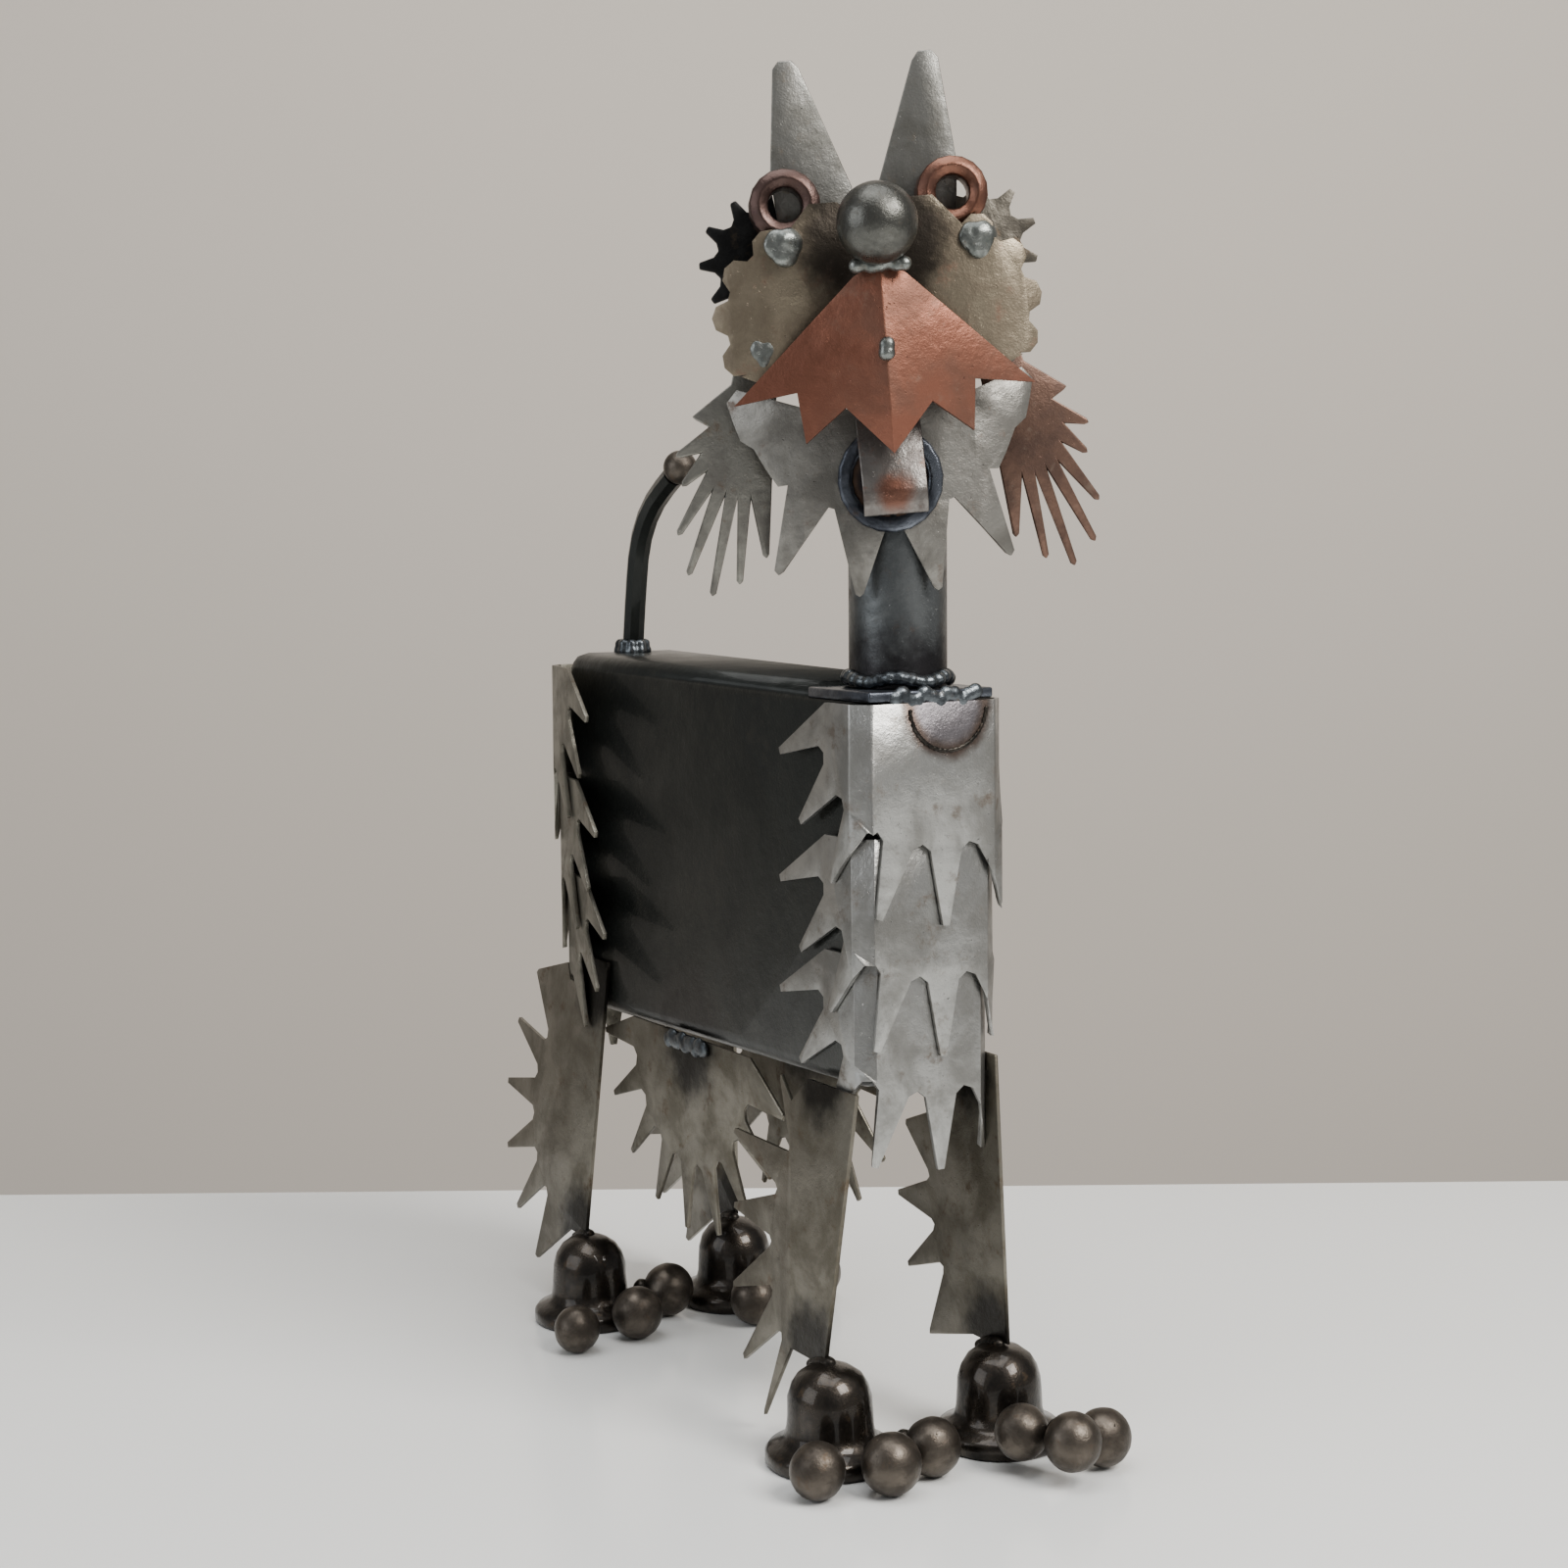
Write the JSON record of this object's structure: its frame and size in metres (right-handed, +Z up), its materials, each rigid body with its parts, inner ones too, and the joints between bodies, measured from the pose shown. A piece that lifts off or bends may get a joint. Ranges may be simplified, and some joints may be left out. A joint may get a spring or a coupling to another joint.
{
  "type": "scrap metal dog sculpture",
  "caption": "Standing dog welded from flat steel, with toothed plates for the coat, bell-shaped feet with ball toes, a pipe neck and a face of gears and folded sheet.",
  "frame": {"origin": "middle of the footprint, on the ground that the feet stand on", "axes": "+Z up, -Y the way the dog faces, +X the dog's left side"},
  "size_m": [0.1186, 0.3052, 0.4209],
  "materials": {
    "dark_steel": "dark oiled mill scale, half gloss",
    "bright_steel": "bare ground steel with pits and heat stain",
    "brown_steel": "bare cut plate with a thin olive brown film",
    "cast_feet": "dark brown black cast iron, waxed",
    "heat_copper": "steel heat tinted to a copper red",
    "heat_bronze": "steel heat tinted to a tan bronze",
    "polished_steel": "dark polished steel ball"
  },
  "bodies": {
    "root": {"beard_plate": "brown_steel", "belly_fan_left": "brown_steel", "belly_fan_right": "brown_steel", "body_box": "dark_steel", "cheek_fan_left": "brown_steel", "cheek_fan_right": "brown_steel", "cheek_plate_left": "heat_bronze", "cheek_plate_right": "heat_bronze", "cheek_sprocket_left": "brown_steel", "cheek_sprocket_right": "brown_steel", "chest_plate_lower": "bright_steel", "chest_plate_middle": "bright_steel", "chest_plate_upper": "bright_steel", "ear_left": "brown_steel", "ear_right": "brown_steel", "eye_ring_left": "heat_copper", "eye_ring_right": "heat_copper", "foot_bell_front_left": "cast_feet", "foot_bell_front_right": "cast_feet", "foot_bell_rear_left": "cast_feet", "foot_bell_rear_right": "cast_feet", "leg_front_left": "brown_steel", "leg_front_right": "brown_steel", "leg_rear_left": "brown_steel", "leg_rear_right": "brown_steel", "mouth_ring": "brown_steel", "neck_collar": "dark_steel", "neck_tube": "dark_steel", "nose_ball": "polished_steel", "rump_plate_lower": "brown_steel", "rump_plate_middle": "brown_steel", "rump_plate_upper": "brown_steel", "snout_plate": "heat_copper", "tail_ball": "dark_steel", "tail_rod": "dark_steel", "toe_ball_front_left_1": "cast_feet", "toe_ball_front_left_2": "cast_feet", "toe_ball_front_left_3": "cast_feet", "toe_ball_front_right_1": "cast_feet", "toe_ball_front_right_2": "cast_feet", "toe_ball_front_right_3": "cast_feet", "toe_ball_rear_left_1": "cast_feet", "toe_ball_rear_left_2": "cast_feet", "toe_ball_rear_left_3": "cast_feet", "toe_ball_rear_right_1": "cast_feet", "toe_ball_rear_right_2": "cast_feet", "toe_ball_rear_right_3": "cast_feet", "tongue_strip": "brown_steel"}
  },
  "joints": []
}
